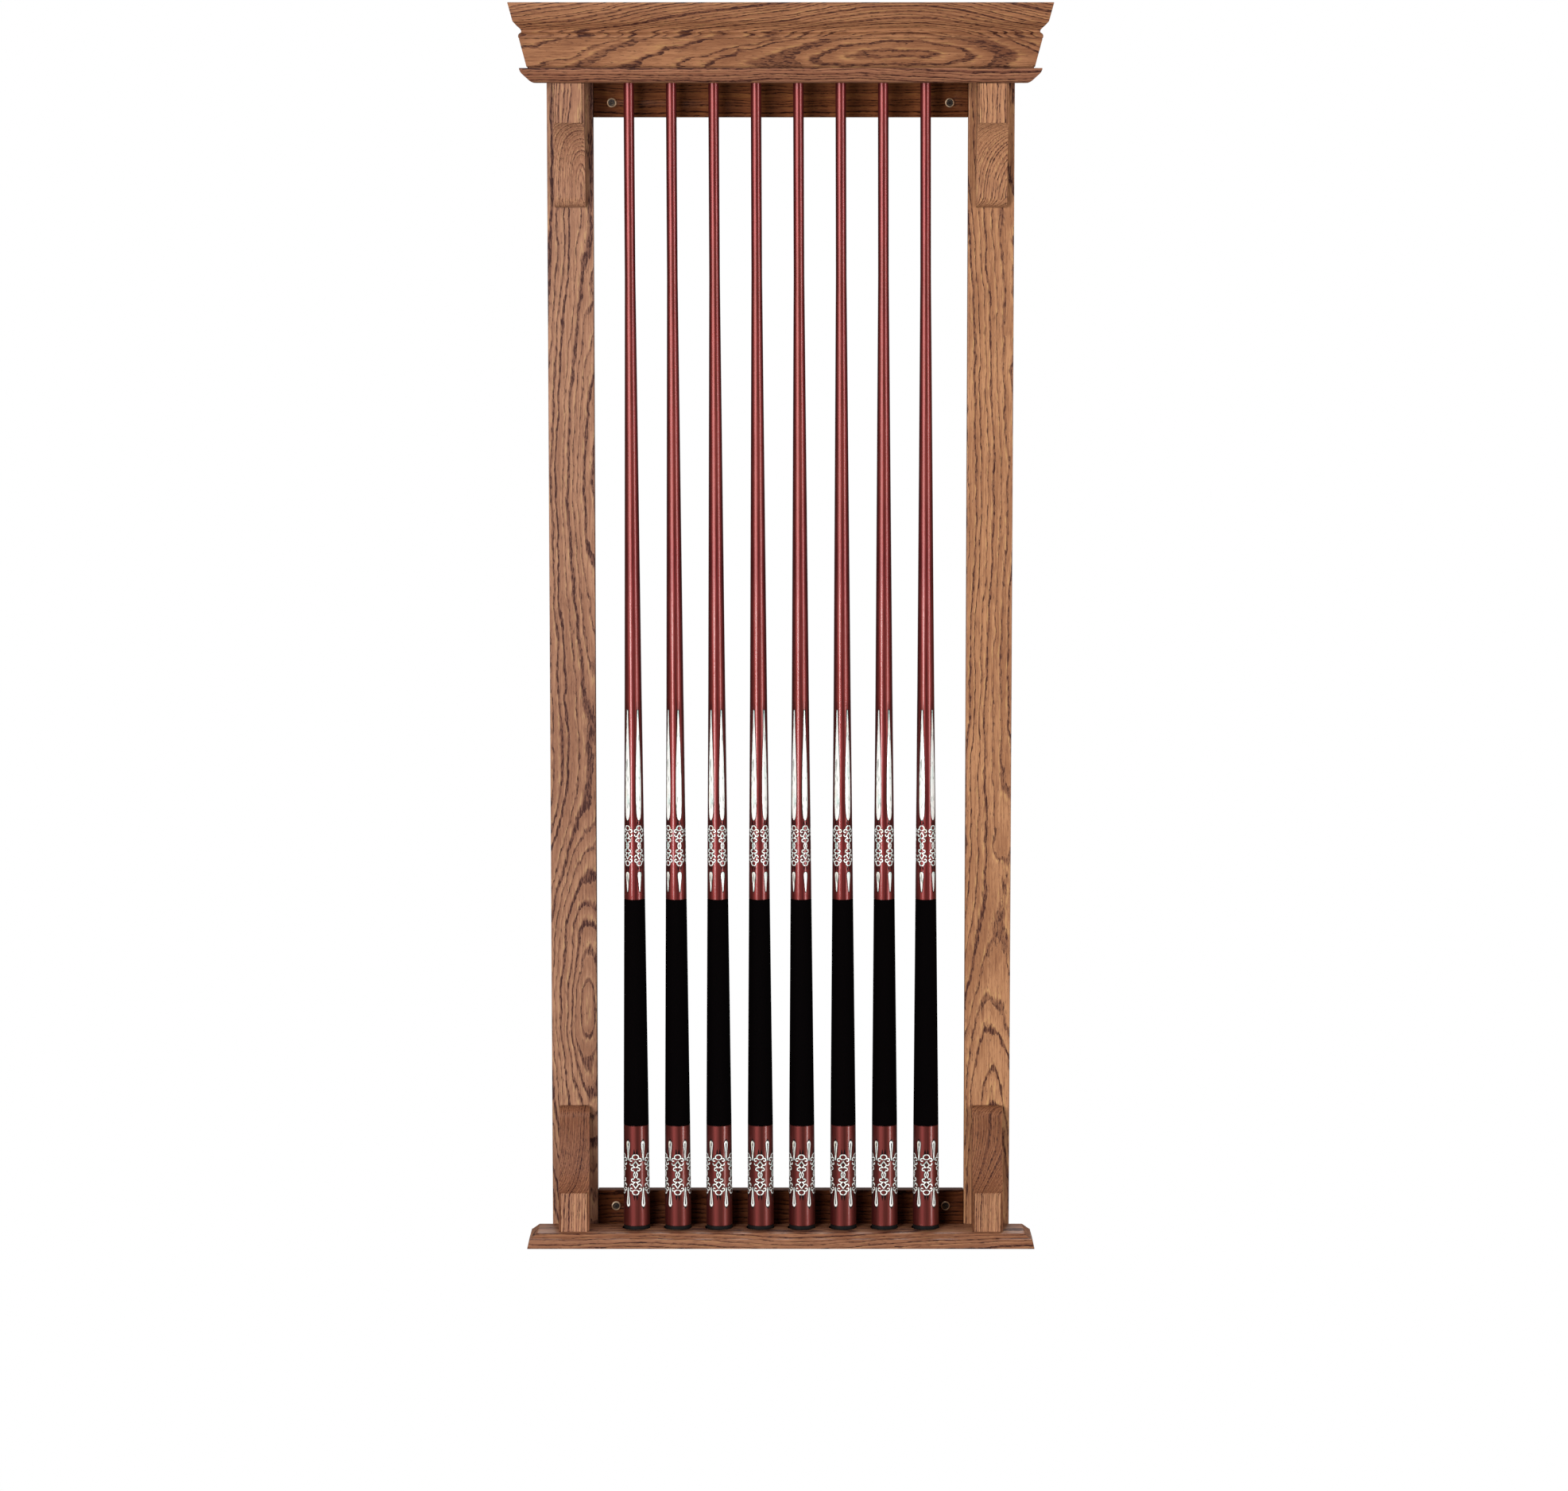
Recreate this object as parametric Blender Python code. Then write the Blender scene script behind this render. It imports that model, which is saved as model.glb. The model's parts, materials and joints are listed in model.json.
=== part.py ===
"""Wall cue rack in oak, holding eight pool cues.

Metres, +Z up. The wall is the plane Y = 0 and the rack faces -Y. The origin is on the back face of the
upper rail, midway between the two upper wall screws. The rack is a flat frame of two posts and two rails,
with a moulded shelf below and a drilled board below the crown moulding above. Each cue stands in a
shallow recess of the shelf and leans against the side of its hole in the drilled board.
"""

from math import atan2, cos, pi, radians, sin

import bmesh
import bpy

MM = 0.001
GAP = 0.3 * MM  # clearance between pieces that touch

# Flat frame
POST_X = 259.5 * MM  # centre line of a post
POST_WIDE = 57 * MM
POST_THICK = 19 * MM
FRAME_TOP = 42 * MM
FRAME_BOTTOM = -1424.5 * MM
RAIL_HIGH = 57 * MM
RAIL_THICK = 16 * MM
UPPER_RAIL_LOW = -18 * MM
LOWER_RAIL_LOW = -1421 * MM
EASED = 1.2 * MM  # eased edge of a board

# Shelf and tip board, both fastened to the front of the frame
BOARD_THICK = 18 * MM
BOARD_DEEP = 64 * MM
SHELF_WIDE = 635 * MM
TIP_BOARD_WIDE = 637 * MM
TIP_BOARD_LOW = 24 * MM
FRONT_EDGE_SHARE = 0.8  # the moulded edge is shallower on the front than on the ends

# Crown moulding
CROWN_WIDE = 663 * MM
CROWN_DEEP = 78 * MM
CROWN_TOP = 121 * MM
CROWN_INNER_INSET = 36 * MM
GLUE_BLOCK_LEG = 20 * MM
GLUE_BLOCK_TOP = 100 * MM

# Corbels
CORBEL_WIDE = 38 * MM
CORBEL_HIGH = 152 * MM
CORBEL_DEEP = 47 * MM
CORBEL_FLAT = 48 * MM
CORBEL_NOSE = 14 * MM
CORBEL_SWEEP = radians(70)
CORBEL_ROUND = 2.5 * MM
SWEEP_STEPS = 8
NOSE_STEPS = 5

# Wall screws
SCREW_X = 208 * MM
UPPER_SCREW_Z = 0.0
LOWER_SCREW_Z = -1384 * MM
SCREW_HOLE_R = 2.6 * MM
SCREW_SHANK_R = 2.1 * MM
SCREW_LONG = 50 * MM
SCREW_POINT = 8 * MM
SCREW_HEAD_R = 4.1 * MM
SCREW_HEAD_TOP = 2.3 * MM  # in front of the rail
CUP_R = 6.0 * MM
CUP_TOP = 2.4 * MM
SCREW_SIDES = 16

# Cues
CUES = 8
CUE_PITCH = 52 * MM
CUE_FORWARD = 18.5 * MM  # from the front of the frame
CUE_LONG = 1473 * MM
CUE_FOOT_Z = -1410.5 * MM
CUE_FOOT_ASIDE = 0.8 * MM  # the foot stands off its recess's centre
CUE_LEAN_ASIDE = 5.3 * MM  # the tip's offset from the foot
RECESS_R = 17.6 * MM
TIP_HOLE_R = 11.1 * MM
BUMPER_HIGH = 8.2 * MM
WRAP_LOW = 136 * MM
WRAP_HIGH = 423 * MM
WRAP_THICK = 0.8 * MM
FERRULE_LOW = 1440 * MM
# (height above the foot, radius) in mm: an even taper up the butt and forearm, then a shaft of even width
CUE_STATIONS = [(0, 16.4), (136, 15.8), (423, 13.1), (683, 10.6), (1198, 6.6), (1440, 6.5), (1473, 6.45)]
FOREARM_TOP = 683 * MM
SHAFT_TOP = 1198 * MM
CUE_SIDES = 20
HOLE_SIDES = 24

FRAME_FRONT = -POST_THICK


def clear_scene():
    for old in list(bpy.data.objects):
        bpy.data.objects.remove(old)


def material(name, colour, roughness, metallic=0.0):
    made = bpy.data.materials.new(name)
    made.use_nodes = True
    shader = made.node_tree.nodes["Principled BSDF"]
    shader.inputs["Base Color"].default_value = (*colour, 1.0)
    shader.inputs["Roughness"].default_value = roughness
    shader.inputs["Metallic"].default_value = metallic
    return made


def place(name, bm, finish, parent=None):
    """Turns a bmesh into the named object and shades only its curved faces smooth."""
    bmesh.ops.recalc_face_normals(bm, faces=bm.faces)
    mesh = bpy.data.meshes.new(name)
    bm.to_mesh(mesh)
    bm.free()
    mesh.materials.append(finish)
    mesh.shade_smooth()
    mesh.set_sharp_from_angle(angle=radians(35))
    made = bpy.data.objects.new(name, mesh)
    bpy.context.collection.objects.link(made)
    made.parent = parent
    return made


def loft(rings, closed=False):
    """A skin over rings of points. It is capped at both ends, or joined into a loop when closed."""
    bm = bmesh.new()
    rows = [[bm.verts.new(p) for p in ring] for ring in rings]
    pairs = list(zip(rows, rows[1:]))
    if closed:
        pairs.append((rows[-1], rows[0]))
    else:
        bm.faces.new(rows[0])
        bm.faces.new(rows[-1])
    count = len(rings[0])
    for low, high in pairs:
        for i in range(count):
            j = (i + 1) % count
            bm.faces.new((low[i], low[j], high[j], high[i]))
    return bm


def box(x, y, z):
    """A box over the three (low, high) ranges."""
    ring = [(x[0], y[0]), (x[1], y[0]), (x[1], y[1]), (x[0], y[1])]
    return loft([[(px, py, pz) for px, py in ring] for pz in z])


def circle(radius, height, sides):
    turn = [2 * pi * i / sides for i in range(sides)]
    return [(radius * cos(a), radius * sin(a), height) for a in turn]


def turned(profile, sides):
    """A turned solid about Z from (height, radius) pairs."""
    return loft([circle(r, h, sides) for h, r in profile])


def turned_ring(profile, sides):
    """A turned ring about Z from a closed outline of (height, radius) pairs."""
    turn = [2 * pi * i / sides for i in range(sides)]
    return loft([[(r * cos(a), r * sin(a), h) for h, r in profile] for a in turn], closed=True)


def ease_edges(made, width):
    bevel = made.modifiers.new("eased_edges", "BEVEL")
    bevel.width = width
    bevel.segments = 1
    bevel.limit_method = "ANGLE"


def cut(made, cutter):
    """Cuts the cutter's shape out of an object. The cutter itself isn't part of the rack."""
    cutter.hide_render = True
    cutter.display_type = "WIRE"
    hole = made.modifiers.new("cut", "BOOLEAN")
    hole.operation = "DIFFERENCE"
    hole.solver = "EXACT"
    hole.object = cutter


def cylinders(name, centres, radius, low, high, sides):
    """Upright cylinders at (x, y) centres, in one cutter object."""
    bm = bmesh.new()
    for x, y in centres:
        rows = [[bm.verts.new((x + px, y + py, pz)) for px, py, pz in circle(radius, h, sides)]
                for h in (low, high)]
        bm.faces.new(rows[0])
        bm.faces.new(rows[1])
        for i in range(sides):
            j = (i + 1) % sides
            bm.faces.new((rows[0][i], rows[0][j], rows[1][j], rows[1][i]))
    return place(name, bm, None)


# Frame -------------------------------------------------------------------------------------------


def make_post(name, side, oak):
    x = (side * POST_X - POST_WIDE / 2, side * POST_X + POST_WIDE / 2)
    post = place(name, box(x, (FRAME_FRONT, 0), (FRAME_BOTTOM, FRAME_TOP)), oak)
    ease_edges(post, EASED)


def make_rail(name, low, screw_z, oak):
    half = POST_X - POST_WIDE / 2 - GAP
    rail = place(name, box((-half, half), (-RAIL_THICK, 0), (low, low + RAIL_HIGH)), oak)
    centres = [(-SCREW_X, screw_z), (SCREW_X, screw_z)]
    drill = cylinders(name + "_drill", centres, SCREW_HOLE_R, -MM, RAIL_THICK + MM, SCREW_SIDES)
    drill.rotation_euler.x = radians(90)  # local +Z now points out of the wall
    cut(rail, drill)


# Shelf and tip board -----------------------------------------------------------------------------


def moulded_board(name, wide, levels, oak):
    """A board in front of the frame whose front and ends follow levels of (height, inset) pairs."""
    back = FRAME_FRONT - GAP
    rings = []
    for z, inset in levels:
        half = wide / 2 - inset
        front = FRAME_FRONT - BOARD_DEEP + FRONT_EDGE_SHARE * inset
        rings.append([(-half, front, z), (half, front, z), (half, back, z), (-half, back, z)])
    return place(name, loft(rings), oak)


def hole_centres():
    y = FRAME_FRONT - CUE_FORWARD
    return [((n - (CUES - 1) / 2) * CUE_PITCH, y) for n in range(CUES)]


def make_base_shelf(oak):
    """The shelf: a steep lower band, a small step and a sloping upper band round a flat top."""
    low = FRAME_BOTTOM
    levels = [(low, 0), (low + 11.6 * MM, 3 * MM), (low + 12 * MM, 4.5 * MM), (low + BOARD_THICK, 13 * MM)]
    shelf = moulded_board("base_shelf", SHELF_WIDE, levels, oak)
    floor, above = CUE_FOOT_Z - GAP, low + 2 * BOARD_THICK
    cut(shelf, cylinders("shelf_recesses", hole_centres(), RECESS_R, floor, above, HOLE_SIDES))


def make_tip_board(oak):
    """The board over the cue tips: a short lip at the top and a bevel running in under it."""
    low, top = TIP_BOARD_LOW, TIP_BOARD_LOW + BOARD_THICK
    levels = [(low, 17 * MM), (low + 2.5 * MM, 12 * MM), (top - 6.5 * MM, 3 * MM), (top - 3 * MM, 0.6 * MM),
              (top, 0)]
    board = moulded_board("tip_board", TIP_BOARD_WIDE, levels, oak)
    cut(board, cylinders("tip_holes", hole_centres(), TIP_HOLE_R, low - MM, top + MM, HOLE_SIDES))


# Crown -------------------------------------------------------------------------------------------


def crown_profile():
    """The moulding's section as (inset, height): fascia, cove, bead and frieze, then the flat inner face."""
    foot = TIP_BOARD_LOW + BOARD_THICK + GAP
    drops = [(0, 0), (6, 23), (8.5, 27), (15, 32), (16, 36), (12.5, 39.5), (12.5, 43)]  # mm below the top
    face = [(inset * MM, CROWN_TOP - drop * MM) for inset, drop in drops]
    return face + [(22 * MM, foot), (CROWN_INNER_INSET, foot), (CROWN_INNER_INSET, CROWN_TOP)]


def make_crown_front(oak):
    """The front of the crown, with both ends mitred."""
    half, front = CROWN_WIDE / 2, FRAME_FRONT - CROWN_DEEP
    ends = [[(side * (half - i), front + i, z) for i, z in crown_profile()] for side in (-1, 1)]
    place("crown_front", loft(ends), oak)


def make_crown_return(name, side, oak):
    """A side piece of the crown, from its mitre back to the front of the frame."""
    half, mitre = CROWN_WIDE / 2, FRAME_FRONT - CROWN_DEEP + 1.5 * GAP
    front = [(side * (half - i), mitre + i, z) for i, z in crown_profile()]
    back = [(x, FRAME_FRONT - GAP, z) for x, _, z in front]
    place(name, loft([front, back]), oak)


def make_glue_block(name, side, oak):
    """A three-cornered block glued into the crown's inner corner."""
    x = side * (CROWN_WIDE / 2 - CROWN_INNER_INSET - GAP)
    y = FRAME_FRONT - CROWN_DEEP + CROWN_INNER_INSET + GAP
    corner = [(x, y), (x - side * GLUE_BLOCK_LEG, y), (x, y + GLUE_BLOCK_LEG)]
    foot = TIP_BOARD_LOW + BOARD_THICK + GAP
    place(name, loft([[(px, py, z) for px, py in corner] for z in (foot, GLUE_BLOCK_TOP)]), oak)


# Corbels -----------------------------------------------------------------------------------------


def corbel_outline():
    """(projection, distance from the board): flat front, sharp arris, concave sweep, convex nose."""
    across = (CORBEL_DEEP - CORBEL_NOSE) / (1 - cos(CORBEL_SWEEP))
    along = (CORBEL_HIGH - CORBEL_NOSE - CORBEL_FLAT) / sin(CORBEL_SWEEP)
    outline = [(0, 0), (CORBEL_DEEP, 0)]
    nose = CORBEL_HIGH - CORBEL_NOSE
    for step in range(SWEEP_STEPS + 1):
        a = CORBEL_SWEEP * (1 - step / SWEEP_STEPS)
        outline.append((CORBEL_NOSE + across * (1 - cos(a)), nose - along * sin(a)))
    for step in range(1, NOSE_STEPS + 1):
        a = pi / 2 * step / NOSE_STEPS
        outline.append((CORBEL_NOSE * cos(a), nose + CORBEL_NOSE * sin(a)))
    return outline


def make_corbel(name, side, board_z, away, oak):
    """A corbel on a post. It starts at the board's face board_z and runs up (away = 1) or down (-1)."""
    rings = []
    for x in (-CORBEL_WIDE / 2, CORBEL_WIDE / 2):
        rings.append([(side * POST_X + x, FRAME_FRONT - GAP - p, board_z + away * (GAP + d))
                      for p, d in corbel_outline()])
    bm = loft(rings)
    rounded = []
    for edge in bm.edges:
        a, b = (v.co for v in edge.verts)
        on_post = min(a.y, b.y) > FRAME_FRONT - 2 * GAP
        on_board = max(abs(a.z - board_z), abs(b.z - board_z)) < 2 * GAP
        if abs(a.x - b.x) < 1e-6 and not (on_post or on_board):
            rounded.append(edge)
    bmesh.ops.bevel(bm, geom=rounded, offset=CORBEL_ROUND, segments=2, affect="EDGES", clamp_overlap=True)
    place(name, bm, oak)


# Wall screws -------------------------------------------------------------------------------------


def make_screw(name, side, z, steel, brass):
    """A countersunk wall screw in a raised brass cup, on the front face of a rail."""
    mark = bpy.data.objects.new(name + "_seat", None)
    bpy.context.collection.objects.link(mark)
    mark.location = (side * SCREW_X, -RAIL_THICK, z)
    mark.rotation_euler.x = radians(90)  # local +Z now points out of the wall
    point = SCREW_HEAD_TOP - SCREW_LONG
    shank = [(point, 0.3 * MM), (point + SCREW_POINT, SCREW_SHANK_R), (0.3 * MM, SCREW_SHANK_R)]
    head = [(2.0 * MM, SCREW_HEAD_R), (SCREW_HEAD_TOP, SCREW_HEAD_R)]
    socket = [(SCREW_HEAD_TOP, 1.7 * MM), (0.9 * MM, 1.2 * MM)]
    place(name + "_screw", turned(shank + head + socket, SCREW_SIDES), steel, mark)
    cup = [(GAP, 2.7 * MM), (GAP, CUP_R), (1.2 * MM, 5.9 * MM), (CUP_TOP, 5.1 * MM), (CUP_TOP, 4.7 * MM)]
    place(name + "_cup", turned_ring(cup, SCREW_SIDES), brass, mark)


# Cues --------------------------------------------------------------------------------------------


def cue_radius(height):
    for (low, r_low), (high, r_high) in zip(CUE_STATIONS, CUE_STATIONS[1:]):
        if height <= high * MM:
            return (r_low + (r_high - r_low) * (height / MM - low) / (high - low)) * MM
    return CUE_STATIONS[-1][1] * MM


def make_cue(number, centre, finishes):
    """One cue: lacquered stick, wrap, rubber bumper and ferrule with its tip, on a leaning axis."""
    foot = bpy.data.objects.new(f"cue_{number}_foot", None)
    bpy.context.collection.objects.link(foot)
    foot.location = (centre[0] + CUE_FOOT_ASIDE, centre[1], CUE_FOOT_Z)
    foot.rotation_euler.y = -atan2(CUE_LEAN_ASIDE, CUE_LONG)
    lacquer, linen, rubber, ivory = finishes
    waist = WRAP_THICK + GAP

    heights = [BUMPER_HIGH + GAP, WRAP_LOW]
    stick = [(h, cue_radius(h)) for h in heights]
    stick += [(WRAP_LOW, cue_radius(WRAP_LOW) - waist), (WRAP_HIGH, cue_radius(WRAP_HIGH) - waist)]
    stick += [(h, cue_radius(h)) for h in (WRAP_HIGH, FOREARM_TOP, SHAFT_TOP, FERRULE_LOW)]
    place(f"cue_{number}_stick", turned(stick, CUE_SIDES), lacquer, foot)

    ends = (WRAP_LOW + GAP, WRAP_HIGH - GAP)
    wrap = [(h, cue_radius(h) - WRAP_THICK) for h in ends] + [(h, cue_radius(h)) for h in reversed(ends)]
    place(f"cue_{number}_wrap", turned_ring(wrap, CUE_SIDES), linen, foot)

    bumper = [(0, 13.9 * MM), (1.0 * MM, 15.3 * MM), (3.0 * MM, 16.1 * MM), (BUMPER_HIGH, 16.2 * MM)]
    place(f"cue_{number}_bumper", turned(bumper, CUE_SIDES), rubber, foot)

    tip = [(FERRULE_LOW + GAP, 6.5 * MM), (CUE_LONG - 4 * MM, 6.45 * MM), (CUE_LONG - 1.4 * MM, 5 * MM),
           (CUE_LONG, 2.2 * MM)]
    place(f"cue_{number}_tip", turned(tip, CUE_SIDES), ivory, foot)


# Assembly ----------------------------------------------------------------------------------------


def main():
    clear_scene()
    oak = material("oak", (0.42, 0.20, 0.09), 0.4)
    steel = material("screw_steel", (0.06, 0.05, 0.05), 0.45, 0.9)
    brass = material("brass", (0.72, 0.52, 0.26), 0.3, 1.0)
    finishes = (
        material("maroon_lacquer", (0.26, 0.035, 0.035), 0.25),
        material("linen_wrap", (0.008, 0.006, 0.007), 0.8),
        material("rubber", (0.012, 0.012, 0.012), 0.7),
        material("ferrule", (0.80, 0.76, 0.66), 0.4),
    )

    shelf_top = FRAME_BOTTOM + BOARD_THICK
    for side, word in ((-1, "left"), (1, "right")):
        make_post(f"{word}_post", side, oak)
        make_corbel(f"upper_{word}_corbel", side, TIP_BOARD_LOW, -1, oak)
        make_corbel(f"lower_{word}_corbel", side, shelf_top, 1, oak)
        make_crown_return(f"crown_{word}_return", side, oak)
        make_glue_block(f"{word}_glue_block", side, oak)
        make_screw(f"upper_{word}", side, UPPER_SCREW_Z, steel, brass)
        make_screw(f"lower_{word}", side, LOWER_SCREW_Z, steel, brass)
    make_rail("upper_rail", UPPER_RAIL_LOW, UPPER_SCREW_Z, oak)
    make_rail("lower_rail", LOWER_RAIL_LOW, LOWER_SCREW_Z, oak)
    make_base_shelf(oak)
    make_tip_board(oak)
    make_crown_front(oak)
    for number, centre in enumerate(hole_centres(), start=1):
        make_cue(number, centre, finishes)


main()
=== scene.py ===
"""Looks of the wall cue rack: stained oak boards, lacquered cues with inlays, wraps, bumpers and hardware."""
import json
from math import cos, pi, radians, sin, sqrt

import bmesh
import bpy
from mathutils import Matrix, Vector

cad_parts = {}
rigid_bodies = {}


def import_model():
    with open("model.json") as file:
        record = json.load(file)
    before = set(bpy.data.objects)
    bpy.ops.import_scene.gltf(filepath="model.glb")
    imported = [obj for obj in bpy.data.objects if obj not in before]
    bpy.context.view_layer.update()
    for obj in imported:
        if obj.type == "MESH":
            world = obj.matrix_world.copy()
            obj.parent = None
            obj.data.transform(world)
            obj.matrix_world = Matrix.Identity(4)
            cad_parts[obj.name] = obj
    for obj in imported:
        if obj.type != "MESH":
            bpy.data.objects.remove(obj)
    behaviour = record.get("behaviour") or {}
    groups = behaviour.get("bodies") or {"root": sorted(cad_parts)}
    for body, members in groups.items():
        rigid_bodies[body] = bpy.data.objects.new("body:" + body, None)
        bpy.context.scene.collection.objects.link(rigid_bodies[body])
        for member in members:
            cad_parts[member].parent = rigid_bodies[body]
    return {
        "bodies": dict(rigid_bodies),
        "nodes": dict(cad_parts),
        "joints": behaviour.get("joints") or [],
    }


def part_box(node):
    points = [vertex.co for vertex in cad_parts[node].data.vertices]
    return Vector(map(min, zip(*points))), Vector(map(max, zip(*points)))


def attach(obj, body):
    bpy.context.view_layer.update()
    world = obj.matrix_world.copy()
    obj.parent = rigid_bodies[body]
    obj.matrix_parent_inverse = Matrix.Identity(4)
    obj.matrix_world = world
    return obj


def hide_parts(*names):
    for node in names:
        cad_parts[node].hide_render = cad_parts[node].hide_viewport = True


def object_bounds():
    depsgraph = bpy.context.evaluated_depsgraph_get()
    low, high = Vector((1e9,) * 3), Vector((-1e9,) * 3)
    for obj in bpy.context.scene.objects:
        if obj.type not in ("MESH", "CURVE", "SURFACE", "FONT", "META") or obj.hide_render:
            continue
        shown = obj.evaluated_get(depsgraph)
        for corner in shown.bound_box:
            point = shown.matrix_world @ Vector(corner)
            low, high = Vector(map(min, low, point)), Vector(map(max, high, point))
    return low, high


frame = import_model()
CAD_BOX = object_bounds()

MM = 0.001
GAP = 0.3 * MM  # a clearance, or an overlap that hides a seam

# Sizes that the CAD sets, in metres
FRONT_SHARE = 0.8  # a moulded board's front is inset by this share of what its ends are
BOARD_THICK = 18 * MM
CORBEL_FLAT = 48 * MM
CORBEL_NOSE = 14 * MM
CORBEL_SWEEP = radians(70)
CORBEL_ROUND = 2.8 * MM
RECESS_R = 17.6 * MM
TIP_HOLE_R = 11.1 * MM
SCREW_HOLE_R = 2.6 * MM
WRAP_LOW, WRAP_HIGH = 136 * MM, 423 * MM
BUMPER_HIGH = 8.2 * MM
FERRULE_LOW = 1440 * MM
FERRULE_R = 6.5 * MM
LEATHER_LOW = 1465.5 * MM
# (height, radius) of a cue from its foot up, in millimetres
CUE_STATIONS = ((0, 16.4), (136, 15.8), (423, 13.1), (683, 10.6), (1198, 6.6), (1440, 6.5), (1473, 6.45))

CUES = sorted(b for b in frame["bodies"] if b.startswith("cue_"))


# Node building ---------------------------------------------------------------------------------


class Nodes:
    """Short names for the shader nodes used below. A number or a socket may be given for any input.

    An input is named by its name, with _ for a space, or by its place: i0, i1 and so on."""

    def __init__(self, tree):
        self.tree = tree

    def add(self, kind, **settings):
        node = self.tree.nodes.new(kind)
        for key, value in settings.items():
            setattr(node, key, value)
        return node

    def feed(self, node, **inputs):
        for key, value in inputs.items():
            socket = node.inputs[int(key[1:]) if key[1:].isdigit() else key.replace("_", " ")]
            if isinstance(value, bpy.types.NodeSocket):
                self.tree.links.new(value, socket)
            else:
                socket.default_value = value
        return node

    def math(self, operation, a, b=0.0, c=0.0):
        node = self.add("ShaderNodeMath", operation=operation)
        return self.feed(node, i0=a, i1=b, i2=c).outputs[0]

    def combine(self, x, y, z):
        return self.feed(self.add("ShaderNodeCombineXYZ"), i0=x, i1=y, i2=z).outputs[0]

    def separate(self, vector):
        return self.feed(self.add("ShaderNodeSeparateXYZ"), i0=vector).outputs

    def spot(self):
        """The place on the piece, in its own metres."""
        return self.add("ShaderNodeTexCoord").outputs["Object"]

    def cells(self, xyz, cross, length):
        """A place whose noise cells are 1 / cross wide and 1 / length long, in metres."""
        sizes = (cross, cross, length)
        return self.combine(*(self.math("MULTIPLY", part, size) for part, size in zip(xyz, sizes)))

    def noise(self, vector, scale=1.0, detail=2.0, roughness=0.5):
        node = self.add("ShaderNodeTexNoise")
        return self.feed(node, Vector=vector, Scale=scale, Detail=detail, Roughness=roughness).outputs["Fac"]

    def noise_line(self, w, scale=1.0, detail=1.0):
        node = self.add("ShaderNodeTexNoise", noise_dimensions="1D")
        return self.feed(node, W=w, Scale=scale, Detail=detail).outputs["Fac"]

    def step(self, value, low, high):
        """0 below low and 1 above high, with a smooth rise between."""
        node = self.add("ShaderNodeMapRange", interpolation_type="SMOOTHSTEP")
        return self.feed(node, i0=value, i1=low, i2=high).outputs[0]

    def remap(self, value, low, high, to_low, to_high):
        node = self.add("ShaderNodeMapRange")
        return self.feed(node, i0=value, i1=low, i2=high, i3=to_low, i4=to_high).outputs[0]

    def spread(self, noise, low, high):
        """low to high over the range that a noise mostly has."""
        return self.remap(noise, 0.3, 0.7, low, high)

    def blend(self, factor, a, b, mode="MIX"):
        node = self.add("ShaderNodeMix", data_type="RGBA", blend_type=mode)
        if not isinstance(a, bpy.types.NodeSocket):
            a = (*a, 1.0)
        if not isinstance(b, bpy.types.NodeSocket):
            b = (*b, 1.0)
        return self.feed(node, i0=factor, i6=a, i7=b).outputs[2]

    def bump(self, height, distance):
        node = self.add("ShaderNodeBump")
        return self.feed(node, Height=height, Distance=distance, Strength=1.0).outputs[0]


def new_material(name, **sockets):
    """A Principled material. Sockets that are the same all over are set here, on the shader itself."""
    made = bpy.data.materials.new(name)
    made.use_nodes = True
    shader = made.node_tree.nodes["Principled BSDF"]
    n = Nodes(made.node_tree)
    n.feed(shader, **sockets)
    return made, n, shader


def speckled(name, noise, colours, edges=None, rough=None, relief=None, **sockets):
    """A material whose two colours, roughness and relief all follow one noise.

    noise is its scale, detail and roughness, and edges are the values between which the colour changes."""
    made, n, shader = new_material(name, **sockets)
    grit = n.noise(n.spot(), *noise)
    n.feed(shader, Base_Color=n.blend(n.step(grit, *edges) if edges else grit, *colours))
    if rough:
        n.feed(shader, Roughness=n.spread(grit, *rough))
    if relief:
        n.feed(shader, Normal=n.bump(grit, relief))
    return made


# Oak -------------------------------------------------------------------------------------------

# Linear colours of the stained wood: two tones between the bands, the bands, the pores and the yellow streaks
LATE_LIGHT = (0.480, 0.262, 0.165)
LATE_DARK = (0.315, 0.155, 0.096)
BAND = (0.135, 0.052, 0.038)
PORE = (0.045, 0.013, 0.012)
HONEY = (0.640, 0.430, 0.215)

# Noises in the wood: cells per metre across and along, a shift that sets each apart, detail and roughness
WOOD_NOISES = {"slow wave": (30, 9, 0.0, 1, 0.5), "wave": (75, 34, 3.0, 1, 0.5),
               "ripple": (480, 70, 0.0, 3, 0.6), "dash": (620, 120, 0.0, 2, 0.55),
               "fine": (820, 75, 5.0, 2, 0.6), "fibre": (520, 14, 11.0, 3, 0.6),
               "cloud": (26, 5, 23.0, 2, 0.5), "honey": (420, 45, 71.0, 2, 0.5)}
WAVE_SIZES = {"slow wave": 0.0085, "wave": 0.0042, "ripple": 0.0024}  # how far they bend the rings, in metres
WAVE_RINGS = 172.0  # rings that a wave of a metre would shift, one for every 5.8 mm
GRAIN_RELIEF = 0.00015


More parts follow.
